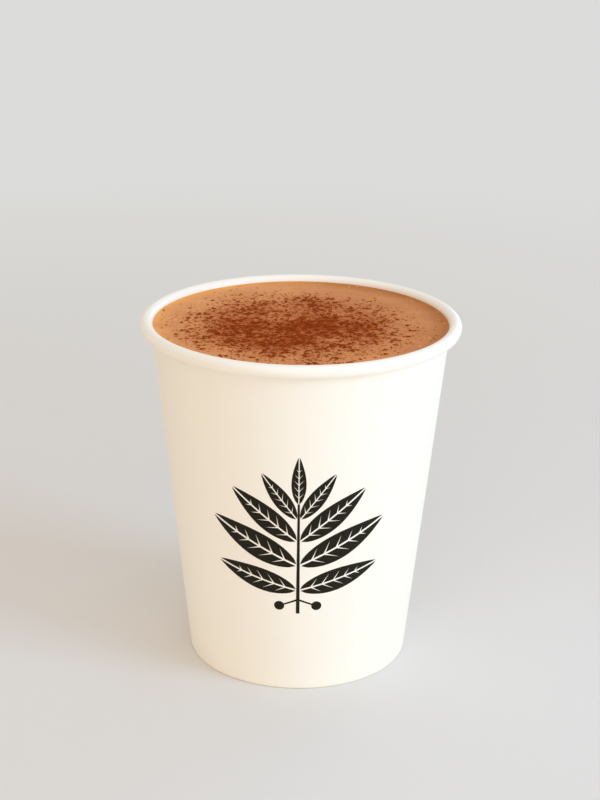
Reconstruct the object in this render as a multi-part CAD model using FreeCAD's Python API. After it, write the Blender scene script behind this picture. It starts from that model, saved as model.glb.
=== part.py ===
"""A caffe mocha in a single-wall paper cup.

The cup is two pieces of paper, as a cup machine makes it. The side wall is a
blank wound into a cone and glued along one lap seam, with its top edge curled
outwards into a hollow bead and its foot turned up inside as a hem. The base is
a disc set above the foot, whose skirt is held between the wall and the hem.
The drink fills the cup to just below the top of the bead.

Millimetres. +Z is up, the origin is the centre of the foot on the table, and
the side seam is at the back, on the +Y side.
"""
import FreeCAD, Part
import math
import os

# Driving dimensions.
RIM_DIAMETER = 80.0      # over the outside of the bead
FOOT_DIAMETER = 56.0     # outside the wall where it meets the table
CUP_HEIGHT = 89.0
BEAD_DIAMETER = 3.2      # of the curled rim's own section
WALL_PAPER = 0.35        # coated cup board
BASE_PAPER = 0.30        # thinner board of the base disc
RECESS = 7.5             # from the table to the underside of the base disc
HEM_HEIGHT = 6.2         # of the foot's turned-up hem
FOOT_RADIUS = 0.25       # rounding of the fold that stands on the table
SKIRT_BEND = 0.5         # inside radius where the base disc turns down
BEAD_END_ANGLE = 45.0    # how far the curl's free edge stops short of the wall
LAP_WIDTH = 7.0          # glued overlap of the side seam
LAP_RAMP = 2.5           # width over which the outer layer settles onto the wall
LAP_ANGLE = 90.0         # where the seam's middle lies, from +X towards +Y
LAP_BITE = 0.1           # how deep the lap's solid reaches into the wall
FILL_GAP = 1.7           # from the top of the bead down to the drink
MENISCUS_HEIGHT = 0.25   # how far the drink climbs the wall
MENISCUS_WIDTH = 1.2

# The bead's centre, and the wall's slope, which is tangent to the inside of the curl.
BEAD_OUTER = BEAD_DIAMETER / 2
BEAD_INNER = BEAD_OUTER - WALL_PAPER
BEAD_X = RIM_DIAMETER / 2 - BEAD_OUTER
BEAD_Z = CUP_HEIGHT - BEAD_OUTER
FOOT_X = FOOT_DIAMETER / 2
SLOPE = (math.atan2(BEAD_X - FOOT_X, BEAD_Z)
         - math.asin(BEAD_INNER / math.hypot(BEAD_X - FOOT_X, BEAD_Z)))

# The layers at the foot, as depths measured square to the wall from its outside.
WALL_INSIDE = WALL_PAPER
SKIRT_INSIDE = WALL_INSIDE + BASE_PAPER
HEM_INSIDE = SKIRT_INSIDE + WALL_PAPER

BASE_TOP = RECESS + BASE_PAPER
DRINK_LEVEL = CUP_HEIGHT - FILL_GAP


def wall_x(depth, z):
    """Distance from the axis, at height z, of the cone that lies depth inside the wall."""
    return FOOT_X + z * math.tan(SLOPE) - depth / math.cos(SLOPE)


def on_wall(depth, z):
    return (wall_x(depth, z), z)


def bead_point(radius, angle):
    """A point of the bead's section, at an angle in degrees round the bead's centre."""
    turn = math.radians(angle)
    return (BEAD_X + radius * math.cos(turn), BEAD_Z + radius * math.sin(turn))


def vector(point):
    """A point of a section, as distance from the axis and height, in the XZ plane."""
    return FreeCAD.Vector(point[0], 0, point[1])


def line(start, end):
    return Part.LineSegment(vector(start), vector(end)).toShape()


def arc(start, middle, end):
    return Part.Arc(vector(start), vector(middle), vector(end)).toShape()


def rounded_corner(before, corner, after, radius):
    """The start, middle and end of an arc that rounds a corner between two straight runs."""
    towards_before = (vector(before) - vector(corner)).normalize()
    towards_after = (vector(after) - vector(corner)).normalize()
    half_angle = towards_before.getAngle(towards_after) / 2
    bisector = (towards_before + towards_after).normalize()
    reach = radius / math.tan(half_angle)
    points = (
        vector(corner) + towards_before * reach,
        vector(corner) + bisector * (radius / math.sin(half_angle) - radius),
        vector(corner) + towards_after * reach,
    )
    return [(point.x, point.z) for point in points]


def turned(edges):
    """The solid that a closed section makes when it is turned round the Z axis."""
    wire = Part.Wire(Part.__sortEdges__(edges))
    return Part.Face(wire).revolve(FreeCAD.Vector(0, 0, 0), FreeCAD.Vector(0, 0, 1), 360)


def rolled_wall():
    """The wall with its curled bead and its turned-up hem, as one sheet of paper."""
    bead_start = 180 - math.degrees(SLOPE)
    bead_end = BEAD_END_ANGLE - 180 - math.degrees(SLOPE)
    bead_middle = (bead_start + bead_end) / 2
    inner_curl = [bead_point(BEAD_INNER, a) for a in (bead_start, bead_middle, bead_end)]
    outer_curl = [bead_point(BEAD_OUTER, a) for a in (bead_end, bead_middle, bead_start)]

    slot_outside = on_wall(WALL_INSIDE, WALL_PAPER)
    slot_inside = on_wall(SKIRT_INSIDE, WALL_PAPER)
    hem_outside = on_wall(SKIRT_INSIDE, HEM_HEIGHT)
    hem_inside = on_wall(HEM_INSIDE, HEM_HEIGHT)
    foot_inside = on_wall(HEM_INSIDE, 0)
    foot_outside = on_wall(0, 0)
    inner_round = rounded_corner(hem_inside, foot_inside, foot_outside, FOOT_RADIUS)
    outer_round = rounded_corner(foot_inside, foot_outside, inner_curl[0], FOOT_RADIUS)

    return turned([
        line(outer_round[2], inner_curl[0]),
        arc(*inner_curl),
        line(inner_curl[2], outer_curl[0]),
        arc(*outer_curl),
        line(outer_curl[2], slot_outside),
        line(slot_outside, slot_inside),
        line(slot_inside, hem_outside),
        line(hem_outside, hem_inside),
        line(hem_inside, inner_round[0]),
        arc(*inner_round),
        line(inner_round[2], outer_round[0]),
        arc(*outer_round),
    ])


def lap_section(z):
    """The outline of the seam's outer layer at height z: a step on one side, a ramp on the other."""
    wall = wall_x(0, z)
    raised = wall + WALL_PAPER
    sunk = wall - LAP_BITE
    middle = math.radians(LAP_ANGLE)
    step = middle - LAP_WIDTH / 2 / wall
    shoulder = middle + LAP_WIDTH / 2 / wall
    toe = shoulder + LAP_RAMP / wall

    def at(radius, angle):
        return FreeCAD.Vector(radius * math.cos(angle), radius * math.sin(angle), z)

    edges = [
        Part.LineSegment(at(sunk, step), at(raised, step)),
        Part.Arc(at(raised, step), at(raised, (step + shoulder) / 2), at(raised, shoulder)),
        Part.LineSegment(at(raised, shoulder), at(sunk, toe)),
        Part.Arc(at(sunk, toe), at(sunk, (step + toe) / 2), at(sunk, step)),
    ]
    return Part.Wire([edge.toShape() for edge in edges])


def seam_lap():
    """The second layer of paper over the side seam, from the foot to just under the bead."""
    low = FOOT_RADIUS + WALL_PAPER
    high = BEAD_Z - BEAD_INNER
    return Part.makeLoft([lap_section(low), lap_section(high)], True, True)


def cup_wall():
    return rolled_wall().fuse(seam_lap())


def cup_base():
    """The base disc with its skirt, which reaches down into the fold of the hem."""
    disc_edge = on_wall(WALL_INSIDE, BASE_TOP)
    skirt_outside = on_wall(WALL_INSIDE, WALL_PAPER)
    skirt_inside = on_wall(SKIRT_INSIDE, WALL_PAPER)
    under_edge = on_wall(SKIRT_INSIDE, RECESS)
    bend = rounded_corner(skirt_inside, under_edge, (0, RECESS), SKIRT_BEND)
    return turned([
        line((0, BASE_TOP), disc_edge),
        line(disc_edge, skirt_outside),
        line(skirt_outside, skirt_inside),
        line(skirt_inside, bend[0]),
        arc(*bend),
        line(bend[2], (0, RECESS)),
        line((0, RECESS), (0, BASE_TOP)),
    ])


def mocha():
    """The drink with its foam, from the base disc to the level, with a meniscus at the wall."""
    contact = on_wall(WALL_INSIDE, DRINK_LEVEL + MENISCUS_HEIGHT)
    flat_edge = (contact[0] - MENISCUS_WIDTH, DRINK_LEVEL)
    # A point of the arc that leaves the flat surface without a corner.
    radius = (MENISCUS_WIDTH ** 2 + MENISCUS_HEIGHT ** 2) / (2 * MENISCUS_HEIGHT)
    half_turn = math.asin(MENISCUS_WIDTH / radius) / 2
    rise = (
        flat_edge[0] + radius * math.sin(half_turn),
        DRINK_LEVEL + radius * (1 - math.cos(half_turn)),
    )
    floor_edge = on_wall(WALL_INSIDE, BASE_TOP)
    return turned([
        line((0, BASE_TOP), floor_edge),
        line(floor_edge, contact),
        arc(contact, rise, flat_edge),
        line(flat_edge, (0, DRINK_LEVEL)),
        line((0, DRINK_LEVEL), (0, BASE_TOP)),
    ])


def main():
    os.makedirs("parts", exist_ok=True)
    nodes = {"cup_wall": cup_wall(), "cup_base": cup_base(), "mocha": mocha()}
    for name, shape in nodes.items():
        if not shape.isValid():
            raise ValueError(f"{name} is not a valid solid")
        shape.exportStep(f"parts/{name}.step")
        print(name, len(shape.Solids), "solid,", round(shape.Volume), "mm3")


main()
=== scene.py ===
"""A caffe mocha in a single-wall paper cup, dusted with cocoa, made around its packed CAD frame.

The cup is wound from flat sheets of board, the drink's foam has its own relief, cocoa is sifted on
it speck by speck, and a leaf sprig is printed on the wall. Metres, +Z up, and the origin is the
centre of the cup's foot. The print side faces -Y and the side seam is at the back, at +Y.
"""

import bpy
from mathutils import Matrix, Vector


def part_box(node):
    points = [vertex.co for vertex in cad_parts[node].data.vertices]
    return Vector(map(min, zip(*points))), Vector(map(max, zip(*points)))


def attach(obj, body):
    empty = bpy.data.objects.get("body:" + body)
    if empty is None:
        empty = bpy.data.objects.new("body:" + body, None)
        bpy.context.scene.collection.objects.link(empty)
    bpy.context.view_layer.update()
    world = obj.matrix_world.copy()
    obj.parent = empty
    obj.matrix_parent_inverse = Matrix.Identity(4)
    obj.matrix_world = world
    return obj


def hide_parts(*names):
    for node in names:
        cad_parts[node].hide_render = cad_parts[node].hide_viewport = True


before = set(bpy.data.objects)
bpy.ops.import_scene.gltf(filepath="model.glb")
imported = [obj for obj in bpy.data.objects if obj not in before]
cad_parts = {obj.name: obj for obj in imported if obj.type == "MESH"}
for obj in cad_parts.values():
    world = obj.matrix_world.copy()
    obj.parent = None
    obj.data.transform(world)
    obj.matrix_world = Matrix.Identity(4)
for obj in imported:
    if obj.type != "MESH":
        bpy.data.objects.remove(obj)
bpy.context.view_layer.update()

import math
from collections import namedtuple
from functools import partial
from random import Random

import bmesh
import bpy
import numpy as np
from bpy.props import FloatProperty, FloatVectorProperty, IntProperty, PointerProperty
from mathutils import Matrix, Quaternion, Vector, kdtree, noise

bl_info = {
    "name": "Caffe Mocha in a Paper Cup",
    "version": (1, 0, 0),
    "blender": (4, 5, 0),
    "location": "3D View > Sidebar > Mocha",
    "description": "Builds a cocoa-dusted mocha in a paper cup around its CAD frame",
    "category": "Add Mesh",
}

MM = 0.001
BODY = "root"

# The frame's boxes give the cup's reach and height, the base's level and the drink's level.
RIM_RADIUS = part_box("cup_wall")[1].x
CUP_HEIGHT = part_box("cup_wall")[1].z
BASE_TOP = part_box("cup_base")[1].z
DRINK_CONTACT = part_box("mocha")[1].z


def linear(code):
    """The linear values of a colour written as sRGB hex."""
    parts = [int(code[start:start + 2], 16) / 255 for start in (1, 3, 5)]
    return tuple(c / 12.92 if c <= 0.04045 else ((c + 0.055) / 1.055) ** 2.4 for c in parts)


def smooth(low, high, value):
    """0 below low, 1 above high, and an S-shaped rise between them. It falls if low is above high."""
    share = min(max((value - low) / (high - low), 0), 1)
    return share * share * (3 - 2 * share)


# ------------------------------------------------------------
# What a user would change.

def number(name, description, value, unit="NONE"):
    return FloatProperty(name=name, description=description, default=value, unit=unit)


def length(name, description, millimetres):
    return number(name, description, millimetres * MM, "LENGTH")


def tint(name, description, parts):
    return FloatVectorProperty(
        name=name, description=description, default=parts, subtype="COLOR", min=0, max=1)


class CupSizes(bpy.types.PropertyGroup):
    """Sizes of the paper cup that the frame's boxes don't give."""

    foot_diameter: length("Foot Diameter", "Outside the wall, where it meets the table", 56)
    bead_diameter: length("Bead Diameter", "Of the rolled rim's own section", 3.2)
    wall_paper: length("Wall Board", "Thickness of the wall's board", 0.35)
    base_paper: length("Base Board", "Thickness of the base disc's board", 0.30)
    hem_height: length("Hem Height", "How far the foot's hem is turned up inside", 6.2)
    lap_width: length("Seam Lap", "Glued overlap of the side seam", 7)
    lap_ramp: length("Seam Ramp", "Width over which the outer layer climbs the inner one", 2.5)
    knurl_depth: length("Knurl Depth", "Depth of the ridges pressed into the foot's hem", 0.05)
    emboss_radius: length("Base Ring Radius", "Of the stiffening ring pressed into the base", 19.5)
    emboss_height: length("Base Ring Height", "How far the stiffening ring stands up", 0.3)


class DrinkSizes(bpy.types.PropertyGroup):
    """Sizes of the drink's surface and its bubbles."""

    meniscus_height: length("Meniscus Height", "How far the drink climbs the wall", 0.25)
    meniscus_width: length("Meniscus Width", "How far from the wall the climb starts", 1.2)
    swell_height: length("Swell Height", "Of the slow waves that pouring left in the foam", 0.12)
    swell_width: length("Swell Width", "Size of those slow waves", 14)
    froth_height: length("Froth Height", "Of the fine lumps of the foam", 0.03)
    froth_width: length("Froth Width", "Size of the fine lumps of the foam", 1.3)
    bubble_count: IntProperty(
        name="Bubbles", description="Number of bubbles large enough to see", default=70)
    bubble_smallest: length("Smallest Bubble", "Radius of the smallest bubbles", 0.14)
    bubble_largest: length("Largest Bubble", "Radius of the largest bubbles", 0.6)


class CocoaSizes(bpy.types.PropertyGroup):
    """How the cocoa was sifted."""

    centre_x: length("Dusting Centre X", "Middle of the dusting, left to right", -1.6)
    centre_y: length("Dusting Centre Y", "Middle of the dusting, front to back", -4.2)
    spread_x: length("Dusting Spread X", "Reach of the dusting, left and right", 29.8)
    spread_y: length("Dusting Spread Y", "Reach of the dusting, front and back", 31)
    patch_width: length("Patch Width", "Size of the thicker and thinner patches", 7)
    speck_tries: IntProperty(
        name="Specks Sifted", description="Specks that fall over the cup; most miss the dusting",
        default=10000)
    speck_middle: length("Speck Radius", "Radius of a middling speck with its stain", 0.54)
    speck_largest: length("Largest Speck", "Radius of the largest specks with their stains", 1.05)
    clump_size: number("Clump Size", "Radius of the powder on a speck, as a share of the speck's", 0.5)
    cocoa_height: length("Cocoa Height", "How far thick cocoa stands on the foam", 0.12)
    grain_count: IntProperty(
        name="Loose Grains", description="Number of loose grains on top", default=3200)
    grain_radius: length("Grain Radius", "Radius of a middling loose grain", 0.11)


class PrintSizes(bpy.types.PropertyGroup):
    """Sizes of the sprig printed on the wall."""

    centre_height: length("Print Height", "Of the print's middle above the table", 43.5)
    height: length("Print Size", "From the stem's foot to the top leaf's tip", 43)
    stem_width: length("Stem Width", "Of the stem at its foot", 0.9)
    leaf_length: length("Leaf Length", "Of the longest leaf", 24)
    leaf_width: length("Leaf Width", "Of the longest leaf", 6.4)
    midrib: length("Midrib", "Bare line along the middle of a leaf", 0.5)
    berry_radius: length("Berry Radius", "Of the two round berries under the leaves", 1.25)
    ink_height: length("Ink Height", "How far the ink stands on the board", 0.03)


class Finishes(bpy.types.PropertyGroup):
    """Colours of the cup, the drink and the floor."""

    board: tint("Board", "Bleached board, print side", linear("#fcf9f1"))
    raw_edge: tint("Cut Edge", "Uncoated board where it was cut", linear("#e9dfca"))
    foam: tint("Foam", "Chocolate milk foam", linear("#eea76b"))
    # Foam Edge: more orange where the foam is thinner, and lighter than the foam with painted bounce light
    # from the inner wall.
    foam_edge: tint("Foam Edge", "Thinner foam near the wall", linear("#f6ae64"))
    cocoa_film: tint("Cocoa Film", "Fine cocoa that the foam has wetted", linear("#a84b06"))
    cocoa_wet: tint("Wet Cocoa", "Thick cocoa that has soaked up the drink", linear("#802c00"))
    cocoa_dry: tint("Dry Cocoa", "Loose cocoa powder", linear("#8a3d0b"))
    ink: tint("Ink", "Printing ink", linear("#1f1b10"))
    floor: tint("Floor", "Floor round the cup, as the camera sees it", linear("#e4e3e2"))
    backdrop: tint("Backdrop", "Surroundings that the floor fades into", linear("#dcdcda"))
    floor_bounce: tint("Floor Bounce", "Floor, as it lights the cup from below", linear("#fdf5e8"))


class StageSettings(bpy.types.PropertyGroup):
    """The camera and the lamps."""

    aim_height: length("Aim Height", "Height of the point that the camera moves round", 50)
    distance: length("Distance", "From the camera to that point", 455.4)
    elevation: number("Elevation", "Of the camera above that point", math.radians(21.67), "ROTATION")
    tilt: number("Tilt", "How far above that point the camera looks", math.radians(2.0), "ROTATION")
    roll: number("Roll", "Turn of the camera about its own axis", math.radians(0.64), "ROTATION")
    focal_length: number("Focal Length", "On a sensor 36 mm along its long side", 80, "CAMERA")
    key_power: number("Key Light", "Softbox at the right", 4.0, "POWER")
    front_power: number("Front Light", "Large softbox beside the camera", 1.66, "POWER")
    top_power: number("Top Light", "Softbox overhead", 1.45, "POWER")
    back_power: number("Back Light", "Softbox behind the cup", 1.9, "POWER")
    room_strength: number("Room Light", "Even light from all round", 0.65)
    daylight: tint("Daylight", "Colour of the key, top and back softboxes", (0.45, 0.715, 1.0))
    lamplight: tint("Lamplight", "Colour of the front softbox", (1.0, 0.88, 0.84))
    room_colour: tint("Room Colour", "Colour of the even light", (1.0, 0.85, 0.68))


# ------------------------------------------------------------
# Materials.

# Sockets of a Mix node for colours, whose names each stand for several sockets.
FACTOR, FIRST, SECOND, MIXED = 0, 6, 7, 2

# What the drink's mesh tells the foam's material at each point: the ring along the wall, darkening at the
# right and back with painted shade of the wall, fine cocoa and cocoa cover.
FOAM_LAYERS = ("near_wall", "chocolate", "cocoa_film", "cocoa_cover")

# Bundles of pulp fibres, 0.45 mm across, which show in the board and through the ink.
FIBRES = {"Scale": 1 / (0.45 * MM), "Detail": 3, "Roughness": 0.6}

# The board's faces: each material's name, its colour's setting, its roughness and its relief.
BOARD_SIDES = (
    # Clay-coated print side: matt, with hardly any gloss.
    ("matt_coated_cup_board", "board", 0.55, 0.008 * MM),
    # Polyethylene film on the drink side, which also shows on the bead: smoother and glossier.
    ("polyethylene_lined_cup_board", "board", 0.32, 0.004 * MM),
    # Board cut by the die: bare fibres, warmer and duller than its faces.
    ("die_cut_board_edge", "raw_edge", 0.85, 0.02 * MM),
)


def add_node(tree, kind, inputs=None, **settings):
    """Adds a node with its settings, gives its inputs values or links, and returns its outputs."""
    node = tree.nodes.new("ShaderNode" + kind)
    for name, value in settings.items():
        setattr(node, name, value)
    for name, value in (inputs or {}).items():
        socket = node.inputs[name]
        if isinstance(value, bpy.types.NodeSocket):
            tree.links.new(value, socket)
        else:
            socket.default_value = (*value, 1) if socket.type == "RGBA" else value
    return node.outputs


def new_material(name, colour, **sockets):
    """A material whose Principled shader has its constant values on its own sockets.

    Returns the material, add_node bound to its tree, its shader and its Object coordinates.
    """
    material = bpy.data.materials.new(name)
    material.use_nodes = True
    material.diffuse_color = (*colour, 1)
    add = partial(add_node, material.node_tree)
    shader = material.node_tree.nodes["Principled BSDF"]
    shader.inputs["Base Color"].default_value = (*colour, 1)
    for socket, value in sockets.items():
        shader.inputs[socket.replace("_", " ")].default_value = value
    return material, add, shader, add("TexCoord")["Object"]


def link_to(node, **outputs):
    """Links outputs to the node's sockets of those names."""
    for socket, output in outputs.items():
        node.id_data.links.new(output, node.inputs[socket.replace("_", " ")])


def shade(colour, share):
    """A colour darkened, or lightened up to white."""
    return tuple(min(part * share, 1) for part in colour)


def mottled(add, pattern, low, high, first, second, most=1.0):
    """Colour that is first where the pattern is low, and goes up to most of the way to second."""
    share = add("MapRange", {
        "Value": pattern, "From Min": low, "From Max": high, "To Max": most})["Result"]
    return add("Mix", {FACTOR: share, FIRST: first, SECOND: second}, data_type="RGBA")[MIXED]


def seen_share(add):
    """1 for the camera's rays and those that gloss and clear films send on to the surroundings."""
    path = add("LightPath")
    seen = path["Is Camera Ray"]
    for ray in ("Is Glossy Ray", "Is Transmission Ray"):
        seen = add("Math", {0: seen, 1: path[ray]}, operation="MAXIMUM")["Value"]
    return seen


def board_material(name, colour, roughness, relief):
    """Bleached cup board: cloudy where its fibres lie thicker, with a fine felt-like relief."""
    material, add, shader, place = new_material(name, colour, Roughness=roughness, IOR=1.5)
    clouds = add("TexNoise", {"Vector": place, "Scale": 1 / (5 * MM), "Detail": 3})["Fac"]
    fibres = add("TexNoise", {"Vector": place, **FIBRES})["Fac"]
    cloudy = mottled(add, clouds, 0.35, 0.65, shade(colour, 0.985), colour)
    fibrous = mottled(add, fibres, 0.3, 0.5, shade(colour, 0.98), colour)
    blended = add("Mix", {FACTOR: 0.5, FIRST: cloudy, SECOND: fibrous}, data_type="RGBA")
    dulled = add("MapRange", {
        "Value": fibres, "From Min": 0.3, "From Max": 0.7,
        "To Min": roughness + 0.05, "To Max": roughness - 0.05})
    felt = add("Bump", {"Height": fibres, "Distance": relief})
    link_to(shader, Base_Color=blended[MIXED], Roughness=dulled["Result"], Normal=felt["Normal"])
    return material


def foam_material(finishes):
    """Steamed chocolate milk foam: wet, very fine bubbles, soft gloss, stained by the cocoa."""
    material, add, shader, place = new_material(
        "steamed_chocolate_foam", finishes.foam, Roughness=0.42, IOR=1.35, Specular_IOR_Level=0.08,
        Subsurface_Weight=0.12, Subsurface_Radius=(1.0, 0.5, 0.25), Subsurface_Scale=0.8 * MM)
    edge, chocolate, film, cover = [
        add("Attribute", attribute_name=name)["Fac"] for name in FOAM_LAYERS]
    drawn_out = add("Mapping", {"Vector": place, "Scale": (1, 1.6, 1)})["Vector"]
    streaks, pinheads, blotches, curds = [
        add("TexNoise", {
            "Vector": vector, "Scale": 1 / size, "Detail": detail, "Roughness": roughness})["Fac"]
        for vector, size, detail, roughness in (
            (drawn_out, 9 * MM, 4, 0.5),     # where milk and chocolate are less well mixed
            (place, 0.5 * MM, 3, 0.65),      # the smallest bubbles
            (place, 0.6 * MM, 2, 0.7),       # stains the size of single grains
            (place, 1.8 * MM, 3, 0.6))]      # between which fine cocoa settles

    # Ring along the wall: thinner, more orange foam, lightened with painted bounce light from the inner wall.
    foam = add("Mix", {
        FACTOR: edge, FIRST: finishes.foam, SECOND: finishes.foam_edge}, data_type="RGBA")[MIXED]
    # Darker towards the right and back, with painted shade of the wall in a ring along it there.
    foam = add("Mix", {FACTOR: chocolate, FIRST: foam, SECOND: (0.56, 0.47, 0.39)},
               data_type="RGBA", blend_type="MULTIPLY")[MIXED]
    deeper = add("Mix", {FACTOR: 1.0, FIRST: foam, SECOND: (0.82, 0.77, 0.72)},
                 data_type="RGBA", blend_type="MULTIPLY")[MIXED]
    foam = mottled(add, streaks, 0.38, 0.62, foam, deeper, most=0.45)
    foam = mottled(add, pinheads, 0.42, 0.66, foam, deeper, most=0.4)

    between, grainy, heaped = [
        add("MapRange", {
            "Value": value, "From Min": low, "From Max": high, "To Min": least, "To Max": most})["Result"]
        for value, low, high, least, most in (
            (curds, 0.38, 0.62, 1.1, 0.68), (blotches, 0.28, 0.62, 0.82, 1.1), (film, 0.75, 1.35, 0, 0.5))]

    # Fine cocoa stains the foam between its curds.
    settled = add("Math", {0: between, 1: grainy}, operation="MULTIPLY")["Value"]
    fine = add("Math", {0: film, 1: settled}, operation="MULTIPLY")["Value"]
    stained = add("Mix", {
        FACTOR: fine, FIRST: foam, SECOND: finishes.cocoa_film}, data_type="RGBA")[MIXED]

    # Specks and thick patches have soaked up the drink and are darker and duller.
    thick = add("Math", {0: cover, 1: heaped}, operation="ADD")["Value"]
    frayed = add("Math", {0: thick, 1: settled}, operation="MULTIPLY")["Value"]
    soaked = mottled(add, frayed, 0.1, 0.9, stained, finishes.cocoa_wet)
    dulled = add("MapRange", {
        "Value": frayed, "From Min": 0.2, "From Max": 0.7, "To Min": 0.42, "To Max": 0.8})["Result"]

    pits = add("Bump", {"Height": pinheads, "Distance": 0.05 * MM})["Normal"]
    grit = add("Bump", {"Height": blotches, "Distance": 0.04 * MM, "Normal": pits})["Normal"]
    link_to(shader, Base_Color=soaked, Roughness=dulled, Normal=grit)
    return material


def cocoa_material(finishes):
    """Cocoa powder: dull clumps of very fine particles, with no gloss of their own."""
    powder = finishes.cocoa_dry
    material, add, shader, place = new_material(
        "cocoa_powder", powder, Roughness=0.9, IOR=1.45, Specular_IOR_Level=0.1)
    lumps = add("TexNoise", {
        "Vector": place, "Scale": 1 / (0.7 * MM), "Detail": 3, "Roughness": 0.7})["Fac"]
    particles = add("TexNoise", {"Vector": place, "Scale": 1 / (0.12 * MM)})["Fac"]
    grit = add("Bump", {"Height": particles, "Distance": 0.02 * MM})["Normal"]
    uneven = mottled(add, lumps, 0.3, 0.7, shade(powder, 0.7), shade(powder, 1.45))
    link_to(shader, Base_Color=uneven, Normal=grit)
    return material


def bubble_material(finishes):
    """Film of a foam bubble: the foam's own colour behind a wet, shining skin."""
    tone = shade(finishes.foam, 0.66)
    material, add, shader, place = new_material(
        "milk_bubble_film", tone, Roughness=0.2, IOR=1.34, Coat_Weight=0.4, Coat_Roughness=0.08)
    shades = add("TexNoise", {"Vector": place, "Scale": 1 / (1.5 * MM)})["Fac"]
    link_to(shader, Base_Color=mottled(add, shades, 0.35, 0.65, tone, shade(finishes.foam, 0.9)))
    return material


def ink_material(finishes):
    """Flexographic ink on board: near black, slightly thinner where the fibres lie low."""
    material, add, shader, place = new_material(
        "flexographic_ink", finishes.ink, Roughness=0.5, IOR=1.5, Specular_IOR_Level=0.15)
    fibres = add("TexNoise", {"Vector": place, **FIBRES})["Fac"]
    felt = add("Bump", {"Height": fibres, "Distance": 0.006 * MM})["Normal"]
    link_to(shader, Base_Color=mottled(add, fibres, 0.52, 0.72, finishes.ink, shade(finishes.ink, 1.7)),
            Normal=felt)
    return material


FADE_START, FADE_END = 0.1, 0.55     # metres from the cup, where the floor turns into the backdrop


def floor_material(finishes):
    """Matt painted board: pale and even, with the faintest roller texture. It fades into the backdrop."""
    material, add, shader, place = new_material(
        "matt_painted_floor", finishes.floor, Roughness=0.9, Specular_IOR_Level=0.0)
    roller = add("TexNoise", {"Vector": place, "Scale": 1 / (2 * MM), "Detail": 3})["Fac"]
    seen = seen_share(add)
    rolled = mottled(add, roller, 0, 1, shade(finishes.floor, 0.985), finishes.floor)
    painted = add("Mix", {
        FACTOR: seen, FIRST: finishes.floor_bounce, SECOND: rolled}, data_type="RGBA")[MIXED]
    link_to(shader, Base_Color=painted)

    away = add("VectorMath", {0: place}, operation="LENGTH")["Value"]
    faded = add("MapRange", {
        "Value": away, "From Min": FADE_START, "From Max": FADE_END})["Result"]
    fading = add("Math", {0: seen, 1: faded}, operation="MULTIPLY")["Value"]
    backdrop = add("Emission", {"Color": finishes.backdrop})["Emission"]
    either = add("MixShader", {0: fading, 1: shader.outputs["BSDF"], 2: backdrop})["Shader"]
    link_to(material.node_tree.nodes["Material Output"], Surface=either)
    return material


# ------------------------------------------------------------
# Shared modelling.

def as_mesh(name, bm):
    """Turns a bmesh into a mesh and frees it."""
    mesh = bpy.data.meshes.new(name)
    bm.to_mesh(mesh)
    bm.free()
    return mesh


def whole(bm):
    """All of a bmesh, as the operators that cut or mirror take it."""
    return bm.verts[:] + bm.edges[:] + bm.faces[:]


def close_holes(bm):
    bmesh.ops.holes_fill(bm, edges=[edge for edge in bm.edges if edge.is_boundary])


def polar(distance, angle):
    """X and Y of a place at a distance and an angle from the cup's axis."""
    return distance * math.cos(angle), distance * math.sin(angle)


def add_object(name, data):
    thing = bpy.data.objects.new(name, data)
    bpy.context.scene.collection.objects.link(thing)
    return thing


def make_piece(name, bm, materials, crease=40):
    """Makes a bmesh a piece that rides with the cup, smooth but at creases and open edges."""
    for face in bm.faces:
        face.smooth = True
    for edge in bm.edges:
        edge.smooth = edge.calc_face_angle(math.pi) < math.radians(crease)
    mesh = as_mesh(name, bm)
    for material in materials:
        mesh.materials.append(material)
    piece = add_object(name, mesh)
    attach(piece, BODY)
    return piece


def make_board(name, bm, thickness, finishes):
    """Makes a sheet of board of one surface, with its far side and cut edges in their own materials."""
    sides = [board_material(side, getattr(finishes, finish), roughness, relief)
             for side, finish, roughness, relief in BOARD_SIDES]
    sheet = make_piece(name, bm, sides)
    board = sheet.modifiers.new("Board", "SOLIDIFY")
    board.thickness = thickness
    board.offset = -1
    board.use_even_offset = True
    board.material_offset = 1
    board.material_offset_rim = 2
    return sheet


def arc(centre, radius, start, end, steps):
    """Points of an arc in a section, from one angle in degrees to another."""
    angles = [math.radians(start + (end - start) * step / steps) for step in range(steps + 1)]
    return [centre + Vector(polar(1, angle)) * radius for angle in angles]


def run(start, end, spacing):
    """Points of a straight run in a section, without its ends."""
    steps = max(2, round((end - start).length / spacing))
    return [start.lerp(end, step / steps) for step in range(1, steps)]


def joined_copies(name, shape, matrices):
    """One mesh that holds a copy of a small triangulated bmesh at each matrix."""
    corners = np.array([vert.co for vert in shape.verts])
    faces = np.array([[vert.index for vert in face.verts] for face in shape.faces])
    turns = np.array([matrix.to_3x3() for matrix in matrices])
    places = np.array([matrix.translation for matrix in matrices])
    points = np.einsum("kij,nj->kni", turns, corners) + places[:, None]
    firsts = np.arange(len(matrices)) * len(corners)
    mesh = bpy.data.meshes.new(name)
    mesh.from_pydata(points.reshape(-1, 3).tolist(), [],
                     (faces + firsts[:, None, None]).reshape(-1, 3).tolist())
    shape.free()
    return mesh


class Cup:
    """The lines of the cup's section, worked out from the frame and the sizes in the sidebar."""

    def __init__(self, sizes):
        self.paper = sizes.wall_paper
        self.foot_x = sizes.foot_diameter / 2
        self.bead_inner = sizes.bead_diameter / 2 - sizes.wall_paper
        self.bead = Vector((RIM_RADIUS - sizes.bead_diameter / 2, CUP_HEIGHT - sizes.bead_diameter / 2))
        reach = Vector((self.bead.x - self.foot_x, self.bead.y))
        self.slope = math.atan2(reach.x, reach.y) - math.asin(self.bead_inner / reach.length)

    def wall_x(self, depth, z):
        """Distance from the axis, at height z, of the cone that lies depth inside the wall."""
        return self.foot_x + z * math.tan(self.slope) - depth / math.cos(self.slope)

    def on_wall(self, depth, z):
        return Vector((self.wall_x(depth, z), z))


# ------------------------------------------------------------
# The cup.

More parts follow.
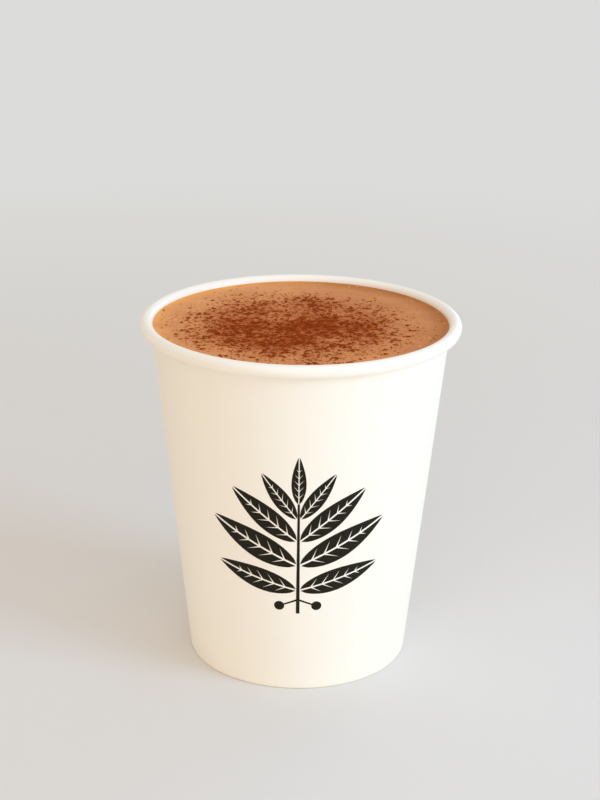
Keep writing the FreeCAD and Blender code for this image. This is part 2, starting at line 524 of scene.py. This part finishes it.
BLANK_COLUMNS = 372      # round the wall
KNURL_COLUMNS = 4        # of them for each ridge of the knurl
FOLD_ROWS, CURL_ROWS = 8, 26
HEM_SPACING, WALL_SPACING = 1.2 * MM, 1.6 * MM   # between the rows of the straight runs
BEAD_OPENING = 45        # degrees that the curl stops short of the wall
GLUE = 0.02 * MM         # between the two layers of the side seam
LAP_FADE = 5 * MM        # height over which the lap rises from the pressed fold
CURL_FADE = 2.5 * MM     # height over which it is pressed flat again below the curl
CURL_LIFT = 0.08         # share of the lap's step that is left in the curl


def wall_section(cup, sizes):
    """The blank's print side, from the hem's edge down, round the fold, up the wall and into the curl.

    Gives its points, how far the side seam's outer layer stands out at each, from 0 to 1, and the
    number of rows in the hem. The tools press the lap flat in the fold and nearly flat in the curl.
    """
    slope = math.degrees(cup.slope)
    fold_radius = (2 * sizes.wall_paper + sizes.base_paper) / 2
    hem_edge = cup.on_wall(2 * fold_radius, sizes.hem_height)
    fold_middle = cup.on_wall(fold_radius, fold_radius)
    fold = arc(fold_middle, fold_radius, 180 - slope, 360 - slope, FOLD_ROWS)
    curl = arc(cup.bead, cup.bead_inner, 180 - slope, BEAD_OPENING - 180 - slope, CURL_ROWS)
    hem = [hem_edge] + run(hem_edge, fold[0], HEM_SPACING)
    straight = run(fold[-1], curl[0], WALL_SPACING)
    top = curl[0].y
    lifts = [0] * (len(hem) + len(fold))
    for point in straight:
        pressed = (1 - CURL_LIFT) * smooth(top - CURL_FADE, top, point.y)
        lifts.append(smooth(0, LAP_FADE, point.y) * (1 - pressed))
    lifts += [CURL_LIFT] * len(curl)
    return hem + fold + straight + curl, lifts, len(hem)


def section_normals(section):
    """Directions square to a section, on the right-hand side of its travel."""
    normals = []
    for before, after in zip(section[:1] + section[:-1], section[1:] + section[-1:]):
        along = (after - before).normalized()
        normals.append(Vector((along.y, -along.x)))
    return normals


def wound(cup, sizes, point, offset, share):
    """Where a point of the section lies, share of the way from the blank's inner end to its outer one.

    offset is the direction and distance that the seam's outer layer stands out there.
    """
    width = cup.wall_x(0, min(point.y, cup.bead.y))
    lap = sizes.lap_width / width
    ramp = sizes.lap_ramp / width
    left = (1 - share) * (math.tau + lap)
    place = point + offset * smooth(lap + ramp, lap, left)
    angle = math.pi / 2 - lap / 2 + left
    return Vector((*polar(place.x, angle), place.y))


class MOCHA_OT_cup_wall(bpy.types.Operator):
    """Wind the cup's wall from its blank, with its curled rim, side seam and knurled hem"""

    bl_idname = "mocha.cup_wall"
    bl_label = "Cup Wall"
    bl_options = {"REGISTER", "UNDO"}

    def execute(self, context):
        scene = context.scene
        sizes = scene.mocha_cup
        cup = Cup(sizes)
        section, lifts, hem_rows = wall_section(cup, sizes)
        normals = section_normals(section)
        bm = bmesh.new()
        bmesh.ops.create_grid(bm, x_segments=BLANK_COLUMNS, y_segments=len(section) - 1, size=0.5)
        for vert in bm.verts:
            share = vert.co.x + 0.5
            row = round((vert.co.y + 0.5) * (len(section) - 1))
            turns = share * BLANK_COLUMNS / KNURL_COLUMNS
            ridge = math.sin(math.tau * turns) if 0 < row < hem_rows else 0
            point = section[row] + normals[row] * (sizes.knurl_depth * ridge)
            offset = normals[row] * (lifts[row] * (sizes.wall_paper + GLUE))
            vert.co = wound(cup, sizes, point, offset, share)
        bmesh.ops.reverse_faces(bm, faces=bm.faces)
        wall = make_board("cup_wall_board", bm, sizes.wall_paper, scene.mocha_finishes)
        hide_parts("cup_wall")
        return {"FINISHED"}


SKIRT_BEND = 0.5 * MM    # inside radius where the disc turns down into its skirt
RING_HALF = 1.1 * MM     # half the width of the pressed ring
RING_ROWS = 6            # in each half of the ring, and in the disc inside it
DISC_SPACING, SKIRT_SPACING = 1.5 * MM, 2 * MM
BASE_COLUMNS = 192
SAME_PLACE = 0.001 * MM  # points nearer than this are one


class MOCHA_OT_cup_base(bpy.types.Operator):
    """Form the cup's base disc with its skirt and its pressed ring"""

    bl_idname = "mocha.cup_base"
    bl_label = "Cup Base"
    bl_options = {"REGISTER", "UNDO"}

    def execute(self, context):
        scene = context.scene
        sizes = scene.mocha_cup
        cup = Cup(sizes)
        under = BASE_TOP - sizes.base_paper
        depth = sizes.wall_paper + sizes.base_paper
        slope = math.degrees(cup.slope)
        bend_middle = cup.on_wall(depth + SKIRT_BEND, under - SKIRT_BEND)
        skirt_foot = cup.on_wall(depth, 2 * sizes.wall_paper)
        section = [Vector((sizes.emboss_radius * row / RING_ROWS, under)) for row in range(RING_ROWS)]
        for row in range(-RING_ROWS, RING_ROWS + 1):
            across = row / RING_ROWS
            rise = (1 + math.cos(math.pi * across)) / 2 * sizes.emboss_height
            section.append(Vector((sizes.emboss_radius + RING_HALF * across, under + rise)))
        bend = arc(bend_middle, SKIRT_BEND, 90, -slope, RING_ROWS)
        section += run(section[-1], bend[0], DISC_SPACING) + bend
        section += run(bend[-1], skirt_foot, SKIRT_SPACING) + [skirt_foot]

        bm = bmesh.new()
        verts = [bm.verts.new((point.x, 0, point.y)) for point in section]
        edges = [bm.edges.new(pair) for pair in zip(verts, verts[1:])]
        bmesh.ops.spin(bm, geom=verts + edges, axis=(0, 0, 1), cent=(0, 0, 0),
                       angle=math.tau, steps=BASE_COLUMNS, use_merge=True)
        bmesh.ops.remove_doubles(bm, verts=bm.verts, dist=SAME_PLACE)
        bmesh.ops.recalc_face_normals(bm, faces=bm.faces)
        if min(bm.faces, key=lambda face: face.calc_center_median().xy.length).normal.z > 0:
            bmesh.ops.reverse_faces(bm, faces=bm.faces)
        base = make_board("cup_base_board", bm, sizes.base_paper, scene.mocha_finishes)
        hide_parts("cup_base")
        return {"FINISHED"}


# ------------------------------------------------------------
# The drink.

FOAM_CELLS = 300         # across the drink's surface
WALL_BITE = 0.1 * MM     # how far the drink reaches into the board, so that no gap shows
NEAR_WALL = 4 * MM       # width of the ring of thinner foam, more orange, and lighter with painted bounce light from the inner wall
DARK_SIDE = math.radians(25)     # where the foam is darker, from +X towards +Y
DARK_START, DARK_END = -6 * MM, 34 * MM    # where it starts to, and does in full, along that way
DARK_RING = 6 * MM       # width of the ring along the wall where it does most: painted shade of the wall
SPECK_SEED, CLUMP_SEED, GRAIN_SEED, BUBBLE_SEED = 21, 22, 23, 24
SPECK_GAP = 1.2 * MM     # between the outermost specks and the wall
SPECK_SPREAD, GRAIN_SPREAD = 0.38, 0.35    # how much their sizes differ, as logarithms
SIFTED_SHARE, SIFTED_SWING = 0.53, 0.22    # of the specks over the dusting that stay, and its unevenness
FILM_SWING = 0.45        # unevenness of the fine cocoa
MOST_COVER = 1.2         # however many specks lie on each other
RAGGEDNESS = 0.5         # depth of the notches in a speck's outline, as a share of its radius

STRAY_SPECKS = 0.009     # share of the specks that stay wherever they fall
OUTLINE_WAVER = 0.09     # how far the dusting's outline wanders, as a share of its reach
OUTLINE_WIDTH = 9 * MM   # size of its bays and tongues
RAGGED_WIDTH = 0.5 * MM  # size of the notches in a speck's outline

# Places in the noise that give each unevenness its own pattern.
OUTLINE_LAYER, SIFTING_LAYER, RAGGED_LAYER, SWELL_LAYER, FROTH_LAYER = 7.3, 127.65, 21.9, 29.2, 36.5

Speck = namedtuple("Speck", "place radius strength")


def steady_noise(x, y, size, layer):
    """Smooth noise from about -1 to 1 whose lumps measure size; each layer has its own pattern."""
    return noise.noise(Vector((x / size, y / size, layer)))


def patchiness(x, y, cocoa):
    """Uneven sifting: above 0 where more cocoa fell than round about, and below 0 where less did."""
    return steady_noise(x, y, cocoa.patch_width, SIFTING_LAYER)


def dusting_share(x, y, cocoa, edge=1.14, core=0.68):
    """How much cocoa falls at a place: 1 inside the core of the dusting and 0 beyond its edge."""
    across = (x - cocoa.centre_x) / cocoa.spread_x
    along = (y - cocoa.centre_y) / cocoa.spread_y
    out = math.hypot(across, along) + OUTLINE_WAVER * steady_noise(x, y, OUTLINE_WIDTH, OUTLINE_LAYER)
    return smooth(edge, core, out)


def sifted_specks(cocoa, reach):
    """Specks of cocoa where they landed, from small ones to clumps, thickest in the middle."""
    random = Random(SPECK_SEED)
    specks = []
    for _ in range(cocoa.speck_tries):
        distance = reach * math.sqrt(random.random())
        turn = random.uniform(0, math.tau)
        radius = min(cocoa.speck_middle * random.lognormvariate(0, SPECK_SPREAD), cocoa.speck_largest)
        strength = random.uniform(0.4, 1.1)
        chance = random.random()
        x, y = polar(distance, turn)
        patch = SIFTED_SHARE + SIFTED_SWING * patchiness(x, y, cocoa)
        if chance < STRAY_SPECKS + dusting_share(x, y, cocoa) * min(max(patch, 0.1), 1):
            specks.append(Speck(Vector((x, y, 0)), radius, strength))
    return specks


class FoamTop:
    """The foam's surface: how high it stands at a place, and how much cocoa lies there."""

    def __init__(self, scene):
        self.drink = scene.mocha_drink
        self.cocoa = scene.mocha_cocoa
        self.level = DRINK_CONTACT - self.drink.meniscus_height
        cup = Cup(scene.mocha_cup)
        self.wall = cup.wall_x(cup.paper, DRINK_CONTACT)
        self.specks = sifted_specks(self.cocoa, self.wall - SPECK_GAP)
        self.tree = kdtree.KDTree(len(self.specks))
        for index, speck in enumerate(self.specks):
            self.tree.insert(speck.place, index)
        self.tree.balance()

    def cover(self, x, y):
        """How thickly specks lie at a place, from 0 to 1, with ragged outlines."""
        ragged = 1 + RAGGEDNESS * steady_noise(x, y, RAGGED_WIDTH, RAGGED_LAYER)
        total = 0
        reach = self.cocoa.speck_largest * (1 + RAGGEDNESS)
        for _, index, distance in self.tree.find_range((x, y, 0), reach):
            share = distance / (self.specks[index].radius * ragged)
            if share < 1:
                total += self.specks[index].strength * smooth(1, 0.1, share)
        return min(total, MOST_COVER)

    def film(self, x, y):
        """How much fine cocoa has stained the foam between the specks; over 1 it lies thick."""
        drift = dusting_share(x, y, self.cocoa, edge=1.42, core=0.2)
        return drift * (1 + FILM_SWING * patchiness(x, y, self.cocoa))

    def chocolate(self, x, y):
        """How much darker the foam is than in the middle: darker towards the right and back, with painted
        shade of the wall deepest in a ring along it there.
        """
        side = smooth(DARK_START, DARK_END, x * math.cos(DARK_SIDE) + y * math.sin(DARK_SIDE))
        return side * (0.5 + 0.5 * smooth(DARK_RING, 0.5 * MM, self.wall - math.hypot(x, y)))

    def height(self, x, y, cover):
        """Height of the surface at a place with that cover."""
        drink = self.drink
        inside = self.wall - math.hypot(x, y)
        climb = smooth(drink.meniscus_width, 0, inside) * drink.meniscus_height
        calm = smooth(0, 2 * drink.meniscus_width, inside)
        swell = drink.swell_height * steady_noise(x, y, drink.swell_width, SWELL_LAYER)
        froth = drink.froth_height * steady_noise(x, y, drink.froth_width, FROTH_LAYER)
        return self.level + climb + calm * (swell + froth + self.cocoa.cocoa_height * cover)


def to_disc(x, y):
    """Moves a point of the square from -1 to 1 into the unit disc, its rows staying evenly spaced."""
    return x * math.sqrt(1 - y * y / 2), y * math.sqrt(1 - x * x / 2)


class MOCHA_OT_drink(bpy.types.Operator):
    """Fill the cup with the mocha, whose foam is stained and raised where cocoa lies"""

    bl_idname = "mocha.drink"
    bl_label = "Drink"
    bl_options = {"REGISTER", "UNDO"}

    def execute(self, context):
        scene = context.scene
        cup = Cup(scene.mocha_cup)
        top = FoamTop(scene)
        bm = bmesh.new()
        bmesh.ops.create_grid(bm, x_segments=FOAM_CELLS, y_segments=FOAM_CELLS, size=1)
        near_wall, chocolate, film, cover = [bm.verts.layers.float.new(name) for name in FOAM_LAYERS]
        surface_radius = cup.wall_x(cup.paper - WALL_BITE, DRINK_CONTACT)
        for vert in bm.verts:
            x, y = [part * surface_radius for part in to_disc(vert.co.x, vert.co.y)]
            vert[near_wall] = smooth(NEAR_WALL, 0, top.wall - math.hypot(x, y))
            # Darker towards the right and back, with painted shade of the wall along it there.
            vert[chocolate] = top.chocolate(x, y)
            vert[film] = top.film(x, y)
            vert[cover] = top.cover(x, y)
            vert.co = (x, y, top.height(x, y, vert[cover]))

        rim = [edge for edge in bm.edges if edge.is_boundary]
        side = bmesh.ops.extrude_edge_only(bm, edges=rim)["geom"]
        narrowing = cup.wall_x(cup.paper - WALL_BITE, BASE_TOP) / surface_radius
        for vert in side:
            if isinstance(vert, bmesh.types.BMVert):
                vert.co = (vert.co.x * narrowing, vert.co.y * narrowing, BASE_TOP)
        close_holes(bm)
        bmesh.ops.recalc_face_normals(bm, faces=bm.faces)
        drink = make_piece("mocha_drink", bm, [foam_material(scene.mocha_finishes)], 60)
        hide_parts("mocha")
        return {"FINISHED"}


def cut_flat(bm, height):
    """Cuts off what lies under a height, closes the cut and leaves only triangles."""
    bmesh.ops.bisect_plane(
        bm, geom=whole(bm), plane_co=(0, 0, height), plane_no=(0, 0, 1), clear_inner=True)
    close_holes(bm)
    bmesh.ops.triangulate(bm, faces=bm.faces)
    bmesh.ops.recalc_face_normals(bm, faces=bm.faces)
    bm.verts.index_update()
    return bm


def lump(random, cut):
    """A small uneven lump of radius 1 with few faces, cut off flat at a height."""
    bm = bmesh.new()
    bmesh.ops.create_icosphere(bm, subdivisions=2, radius=1)
    shift = Vector((random.uniform(0, 50), random.uniform(0, 50), random.uniform(0, 50)))
    for vert in bm.verts:
        vert.co *= 1 + 0.42 * noise.noise(vert.co * 1.3 + shift)
    return cut_flat(bm, cut)


def scattered(name, shapes, placements, material, crease):
    """Joins many copies of a few shapes into one piece; each placement goes to the shapes in turn."""
    bm = bmesh.new()
    for first, shape in enumerate(shapes):
        mesh = joined_copies(name, shape, placements[first::len(shapes)])
        bm.from_mesh(mesh)
        bpy.data.meshes.remove(mesh)
    return make_piece(name, bm, [material], crease)


CLUMP_SHAPES, GRAIN_SHAPES = 7, 3
CLUMP_LEAST = 0.62 * MM  # radius times strength, above which a speck still has powder on it
CLUMP_HEIGHT = 0.26      # of its powder, as a share of its radius
CLUMP_SINK = 0.04 * MM   # into the foam
CLUMP_FOOT = -0.3        # where its shape is cut flat
GRAIN_GAP = 0.6 * MM     # between the outermost grains and the wall
STRAY_GRAINS = 0.03      # share of the loose grains that stay wherever they fall


class MOCHA_OT_cocoa(bpy.types.Operator):
    """Lay the cocoa's clumps and loose grains on the foam"""

    bl_idname = "mocha.cocoa"
    bl_label = "Cocoa"
    bl_options = {"REGISTER", "UNDO"}

    def execute(self, context):
        scene = context.scene
        cocoa = scene.mocha_cocoa
        top = FoamTop(scene)
        powder = cocoa_material(scene.mocha_finishes)
        self.lay_clumps(top, cocoa, powder)
        self.lay_grains(top, cocoa, powder)
        return {"FINISHED"}

    def lay_clumps(self, top, cocoa, powder):
        random = Random(CLUMP_SEED)
        placements = []
        for speck in top.specks:
            size = speck.radius * cocoa.clump_size * random.uniform(0.75, 1.15)
            turn = random.uniform(0, math.tau)
            if speck.radius * speck.strength > CLUMP_LEAST:
                x, y = speck.place.xy
                foot = Vector((x, y, top.height(x, y, top.cover(x, y)) - CLUMP_SINK))
                shape = Matrix.Diagonal((size, size * random.uniform(0.55, 0.9), size * CLUMP_HEIGHT, 1))
                placements.append(Matrix.Translation(foot) @ Matrix.Rotation(turn, 4, "Z") @ shape)
        shapes = [lump(random, CLUMP_FOOT) for _ in range(CLUMP_SHAPES)]
        scattered("cocoa_clumps", shapes, placements, powder, 50)

    def lay_grains(self, top, cocoa, powder):
        random = Random(GRAIN_SEED)
        placements = []
        while len(placements) < cocoa.grain_count:
            distance = top.wall * math.sqrt(random.random()) - GRAIN_GAP
            x, y = polar(distance, random.uniform(0, math.tau))
            size = cocoa.grain_radius * random.lognormvariate(0, GRAIN_SPREAD)
            if random.random() > STRAY_GRAINS + dusting_share(x, y, cocoa):
                continue
            foot = Vector((x, y, top.height(x, y, top.cover(x, y)) + size * 0.2))
            spin = Quaternion([random.gauss(0, 1) for _ in range(4)]).normalized()
            shape = Matrix.Diagonal((size, size * random.uniform(0.6, 1), size * random.uniform(0.5, 0.9), 1))
            placements.append(Matrix.Translation(foot) @ spin.to_matrix().to_4x4() @ shape)
        shapes = []
        for _ in range(GRAIN_SHAPES):
            grain = bmesh.new()
            bmesh.ops.create_icosphere(grain, subdivisions=1, radius=1)
            grain.verts.index_update()
            for vert in grain.verts:
                vert.co *= random.uniform(0.8, 1.2)
            shapes.append(grain)
        scattered("cocoa_grains", shapes, placements, powder, 20)


BUBBLE_INSET, FARTHEST_BUBBLE = 3.5 * MM, 30 * MM    # usual and greatest distance from the wall
BUBBLE_HEIGHT = 0.6      # of a bubble's dome, as a share of its radius
BUBBLE_SINK = 0.1        # into the foam, as a share of its radius


class MOCHA_OT_bubbles(bpy.types.Operator):
    """Leave a few larger bubbles on the foam, most of them near the wall"""

    bl_idname = "mocha.bubbles"
    bl_label = "Bubbles"
    bl_options = {"REGISTER", "UNDO"}

    def execute(self, context):
        scene = context.scene
        drink = scene.mocha_drink
        top = FoamTop(scene)
        random = Random(BUBBLE_SEED)
        placements = []
        while len(placements) < drink.bubble_count:
            growth = random.random() ** 4
            radius = drink.bubble_smallest + (drink.bubble_largest - drink.bubble_smallest) * growth
            inset = radius * 1.1 + min(random.expovariate(1 / BUBBLE_INSET), FARTHEST_BUBBLE)
            x, y = polar(top.wall - inset, random.uniform(0, math.tau))
            if random.random() < dusting_share(x, y, scene.mocha_cocoa):
                continue
            foot = Vector((x, y, top.height(x, y, 0) - radius * BUBBLE_SINK))
            shape = Matrix.Diagonal((radius, radius, radius * BUBBLE_HEIGHT, 1))
            placements.append(Matrix.Translation(foot) @ shape)
        dome = bmesh.new()
        bmesh.ops.create_uvsphere(dome, u_segments=14, v_segments=10, radius=1)
        film = bubble_material(scene.mocha_finishes)
        scattered("foam_bubbles", [cut_flat(dome, -BUBBLE_SINK)], placements, film, 60)
        return {"FINISHED"}


# ------------------------------------------------------------
# The print. Its shapes are drawn flat, in X and Y, and then laid round the wall.

LEAF_STEPS = 20
LEAF_SKEW, LEAF_FULLNESS = 0.8, 0.85     # widest below the middle, and rounded at both ends
TOP_LEAF = 0.52          # the topmost leaf's size, beside the longest
VEIN_STARTS = (0.14, 0.28, 0.42, 0.56, 0.70)     # along a leaf, from its stalk to its tip
VEIN_ANGLE = math.radians(42)
VEIN_RISE = 0.12         # how far along the leaf a vein climbs
VEIN_WIDTH, VEIN_REACH = 1.1, 1.15       # beside the midrib's width, and the leaf's half width there
STRIP = 0.7 * MM         # width of the strips that let the flat print follow the wall

Twig = namedtuple("Twig", "height scale angle")
# Pairs of leaves: where each leaves the stem, from 0 at its foot to 1, its size and its lean.
TWIGS = (
    Twig(0.22, 0.86, math.radians(74)),
    Twig(0.45, 1.00, math.radians(63)),
    Twig(0.67, 0.86, math.radians(51)),
    Twig(0.87, 0.60, math.radians(36)),
)
BERRY_TWIG = Twig(0.13, 1.00, math.radians(112))
BERRY_STALK = 3.8 * MM
STALK_START = 0.15       # of the stem's width from its middle, which keeps the two stalks apart
STEM_TAPER, STALK_FOOT, STALK_TIP = 0.6, 0.55, 0.45    # widths beside the stem's at its foot


def clear_vein(bm, root, width, reach):
    """Clears a wedge from a half leaf, from its width at the root to nothing at its reach."""
    towards = Vector((math.sin(VEIN_ANGLE), math.cos(VEIN_ANGLE), 0))
    tip = root + towards * reach
    sides = []
    for offset in (-width / 2, width / 2):
        edge = (tip - root - Vector((0, offset, 0))).normalized()
        sides.append(Vector((-edge.y, edge.x, 0)))
        bmesh.ops.bisect_plane(bm, geom=whole(bm), plane_co=tip, plane_no=sides[-1])
    cleared = []
    for face in bm.faces:
        spot = face.calc_center_median() - tip
        if spot.dot(towards) < 0 and spot.dot(sides[0]) > 0 > spot.dot(sides[1]):
            cleared.append(face)
    bmesh.ops.delete(bm, geom=cleared, context="FACES")


def leaf_shape(sizes):
    """The longest leaf, flat and pointing up from the origin, with its midrib and veins left bare."""
    bm = bmesh.new()
    points = []
    for step in range(LEAF_STEPS + 1):
        share = step / LEAF_STEPS
        swell = math.sin(math.pi * share ** LEAF_SKEW) ** LEAF_FULLNESS if step < LEAF_STEPS else 0
        across = sizes.midrib / 2 + swell * sizes.leaf_width / 2
        points.append(Vector((across, sizes.leaf_length * share, 0)))
    bm.faces.new([bm.verts.new(point) for point in points])
    for start in VEIN_STARTS:
        swell = math.sin(math.pi * (start + VEIN_RISE) ** LEAF_SKEW) * sizes.leaf_width / 2
        root = Vector((sizes.midrib / 2, sizes.leaf_length * start, 0))
        clear_vein(bm, root, sizes.midrib * VEIN_WIDTH, swell * VEIN_REACH)
    bmesh.ops.mirror(bm, geom=whole(bm), axis="X", merge_dist=0)
    return as_mesh("leaf", bm)


def add_copy(bm, mesh, matrix):
    """Adds a copy of a mesh to a bmesh at a matrix."""
    before = len(bm.verts)
    bm.from_mesh(mesh)
    bm.verts.ensure_lookup_table()
    bmesh.ops.transform(bm, matrix=matrix, verts=bm.verts[before:])


def add_stroke(bm, start, end, width, end_width):
    """A straight tapering stroke between two points."""
    side = Vector((end.y - start.y, start.x - end.x, 0)).normalized() / 2
    corners = (start - side * width, start + side * width, end + side * end_width, end - side * end_width)
    bm.faces.new([bm.verts.new(corner) for corner in corners])


def flat_sprig(sizes):
    """The sprig, flat: a stem, pairs of leaves that shorten upwards, a top leaf and two berries."""
    bm = bmesh.new()
    leaf = leaf_shape(sizes)
    foot = Vector((0, -sizes.height / 2, 0))
    stem = Vector((0, sizes.height / 2 - sizes.leaf_length * TOP_LEAF, 0)) - foot
    width = sizes.stem_width
    add_stroke(bm, foot, foot + stem, width, width * STEM_TAPER)
    for twig in TWIGS:
        for side in (1, -1):
            start = foot + stem * twig.height + Vector((side * width * STEM_TAPER, 0, 0))
            turn = Matrix.Rotation(-side * twig.angle, 4, "Z")
            add_copy(bm, leaf, Matrix.Translation(start) @ turn @ Matrix.Scale(twig.scale, 4))
    add_copy(bm, leaf, Matrix.Translation(foot + stem) @ Matrix.Scale(TOP_LEAF, 4))
    bpy.data.meshes.remove(leaf)
    for side in (1, -1):
        bud = foot + stem * BERRY_TWIG.height
        lean = Vector((side * math.sin(BERRY_TWIG.angle), math.cos(BERRY_TWIG.angle), 0))
        inside = bud + lean * width * STALK_START
        add_stroke(bm, inside, bud + lean * BERRY_STALK, width * STALK_FOOT, width * STALK_TIP)
        berry = bmesh.ops.create_circle(bm, cap_ends=True, segments=28, radius=sizes.berry_radius)["verts"]
        bmesh.ops.translate(bm, vec=bud + lean * (BERRY_STALK + sizes.berry_radius * 0.9), verts=berry)
    bm.normal_update()
    bmesh.ops.reverse_faces(bm, faces=[face for face in bm.faces if face.normal.z < 0])
    return bm


class MOCHA_OT_print(bpy.types.Operator):
    """Print the leaf sprig on the front of the cup"""

    bl_idname = "mocha.print"
    bl_label = "Printed Sprig"
    bl_options = {"REGISTER", "UNDO"}

    def execute(self, context):
        scene = context.scene
        sizes = scene.mocha_print
        cup = Cup(scene.mocha_cup)
        bm = flat_sprig(sizes)
        reach = max(abs(vert.co.x) for vert in bm.verts)
        strips = round(reach / STRIP)
        for strip in range(-strips, strips + 1):
            bmesh.ops.bisect_plane(bm, geom=whole(bm), plane_co=(strip * STRIP, 0, 0), plane_no=(1, 0, 0))
        for vert in bm.verts:
            z = sizes.centre_height + vert.co.y * math.cos(cup.slope)
            radius = cup.wall_x(-sizes.ink_height, z)
            angle = vert.co.x / radius - math.pi / 2      # the front is at -Y
            vert.co = (*polar(radius, angle), z)
        sprig = make_piece("sprig_print", bm, [ink_material(scene.mocha_finishes)], 30)
        ink = sprig.modifiers.new("Ink", "SOLIDIFY")
        ink.thickness = 2 * sizes.ink_height
        ink.offset = -1
        return {"FINISHED"}


# ------------------------------------------------------------
# The stage.

FLOOR_RADIUS = 3.0       # metres
LAMP_DISTANCE = 0.9      # metres from the point that the camera moves round

# Square soft lamps. Power and colour are the names of their settings, size is in metres, and the
# angles are in degrees: azimuth 0 is the camera's side, and 90 the right.
Lamp = namedtuple("Lamp", "name power colour size azimuth elevation")
LAMPS = (
    Lamp("key_softbox", "key_power", "daylight", 0.4, 62, 22),
    Lamp("front_softbox", "front_power", "lamplight", 0.8, 0, 38),
    Lamp("top_softbox", "top_power", "daylight", 0.7, 0, 85),
    Lamp("back_softbox", "back_power", "daylight", 0.5, 148, 5),
)


def add_lamp(lamp, stage, aim):
    light = bpy.data.lights.new(lamp.name, "AREA")
    light.energy = getattr(stage, lamp.power)
    light.color = getattr(stage, lamp.colour)
    light.size = lamp.size
    holder = add_object(lamp.name, light)
    turn, rise = math.radians(lamp.azimuth), math.radians(lamp.elevation)
    back = Vector((math.sin(turn) * math.cos(rise), -math.cos(turn) * math.cos(rise), math.sin(rise)))
    holder.location = aim + back * LAMP_DISTANCE
    holder.rotation_mode = "QUATERNION"
    holder.rotation_quaternion = back.to_track_quat("Z", "Y")


class MOCHA_OT_stage(bpy.types.Operator):
    """Set up the floor, the room's light, the lamps and the camera"""

    bl_idname = "mocha.stage"
    bl_label = "Stage"
    bl_options = {"REGISTER", "UNDO"}

    def execute(self, context):
        scene = context.scene
        stage = scene.mocha_stage
        finishes = scene.mocha_finishes
        self.lay_floor(finishes)
        self.light_room(scene, stage, finishes)
        aim = Vector((0, 0, stage.aim_height))
        for lamp in LAMPS:
            add_lamp(lamp, stage, aim)
        self.place_camera(scene, stage, aim)
        scene.view_settings.view_transform = "Standard"
        return {"FINISHED"}

    def lay_floor(self, finishes):
        bm = bmesh.new()
        bmesh.ops.create_circle(bm, cap_ends=True, segments=96, radius=FLOOR_RADIUS)
        mesh = as_mesh("floor", bm)
        mesh.materials.append(floor_material(finishes))
        add_object("floor", mesh)

    def light_room(self, scene, stage, finishes):
        world = bpy.data.worlds.new("room")
        scene.world = world
        world.use_nodes = True
        world.node_tree.nodes.clear()
        add = partial(add_node, world.node_tree)
        light = add("Background", {"Color": stage.room_colour, "Strength": stage.room_strength})
        view = add("Background", {"Color": finishes.backdrop, "Strength": 1.0})
        either = add("MixShader", {0: seen_share(add), 1: light[0], 2: view[0]})
        add("OutputWorld", {"Surface": either[0]})

    def place_camera(self, scene, stage, aim):
        camera = add_object("camera", bpy.data.cameras.new("camera"))
        camera.data.lens = stage.focal_length
        camera.data.clip_start = 10 * MM
        back = Vector((0, -math.cos(stage.elevation), math.sin(stage.elevation)))
        camera.location = aim + back * stage.distance
        camera.rotation_mode = "QUATERNION"
        tilt = Quaternion((1, 0, 0), stage.tilt)
        roll = Quaternion((0, 0, 1), stage.roll)
        camera.rotation_quaternion = back.to_track_quat("Z", "Y") @ tilt @ roll
        scene.camera = camera


# ------------------------------------------------------------
# The add-on.

SETTINGS = {
    "mocha_cup": CupSizes,
    "mocha_drink": DrinkSizes,
    "mocha_cocoa": CocoaSizes,
    "mocha_print": PrintSizes,
    "mocha_finishes": Finishes,
    "mocha_stage": StageSettings,
}
OPERATORS = (
    MOCHA_OT_cup_wall,
    MOCHA_OT_cup_base,
    MOCHA_OT_drink,
    MOCHA_OT_cocoa,
    MOCHA_OT_bubbles,
    MOCHA_OT_print,
    MOCHA_OT_stage,
)


class MOCHA_PT_sidebar(bpy.types.Panel):
    """Lists the mocha's pieces and their sizes"""

    bl_idname = "MOCHA_PT_sidebar"
    bl_label = "Caffe Mocha"
    bl_space_type = "VIEW_3D"
    bl_region_type = "UI"
    bl_category = "Mocha"

    def draw(self, context):
        for operator in OPERATORS:
            self.layout.operator(operator.bl_idname)
        for name, group in SETTINGS.items():
            box = self.layout.box()
            box.label(text=group.__doc__)
            for prop in group.__annotations__:
                box.prop(getattr(context.scene, name), prop)


def register():
    for group in SETTINGS.values():
        bpy.utils.register_class(group)
    for name, group in SETTINGS.items():
        setattr(bpy.types.Scene, name, PointerProperty(type=group))
    for item in (*OPERATORS, MOCHA_PT_sidebar):
        bpy.utils.register_class(item)


def unregister():
    for item in (MOCHA_PT_sidebar, *reversed(OPERATORS)):
        bpy.utils.unregister_class(item)
    for name, group in reversed(SETTINGS.items()):
        delattr(bpy.types.Scene, name)
        bpy.utils.unregister_class(group)


def main():
    register()
    bpy.ops.mocha.cup_wall()
    bpy.ops.mocha.cup_base()
    bpy.ops.mocha.drink()
    bpy.ops.mocha.cocoa()
    bpy.ops.mocha.bubbles()
    bpy.ops.mocha.print()
    bpy.ops.mocha.stage()


if __name__ == "__main__":
    main()
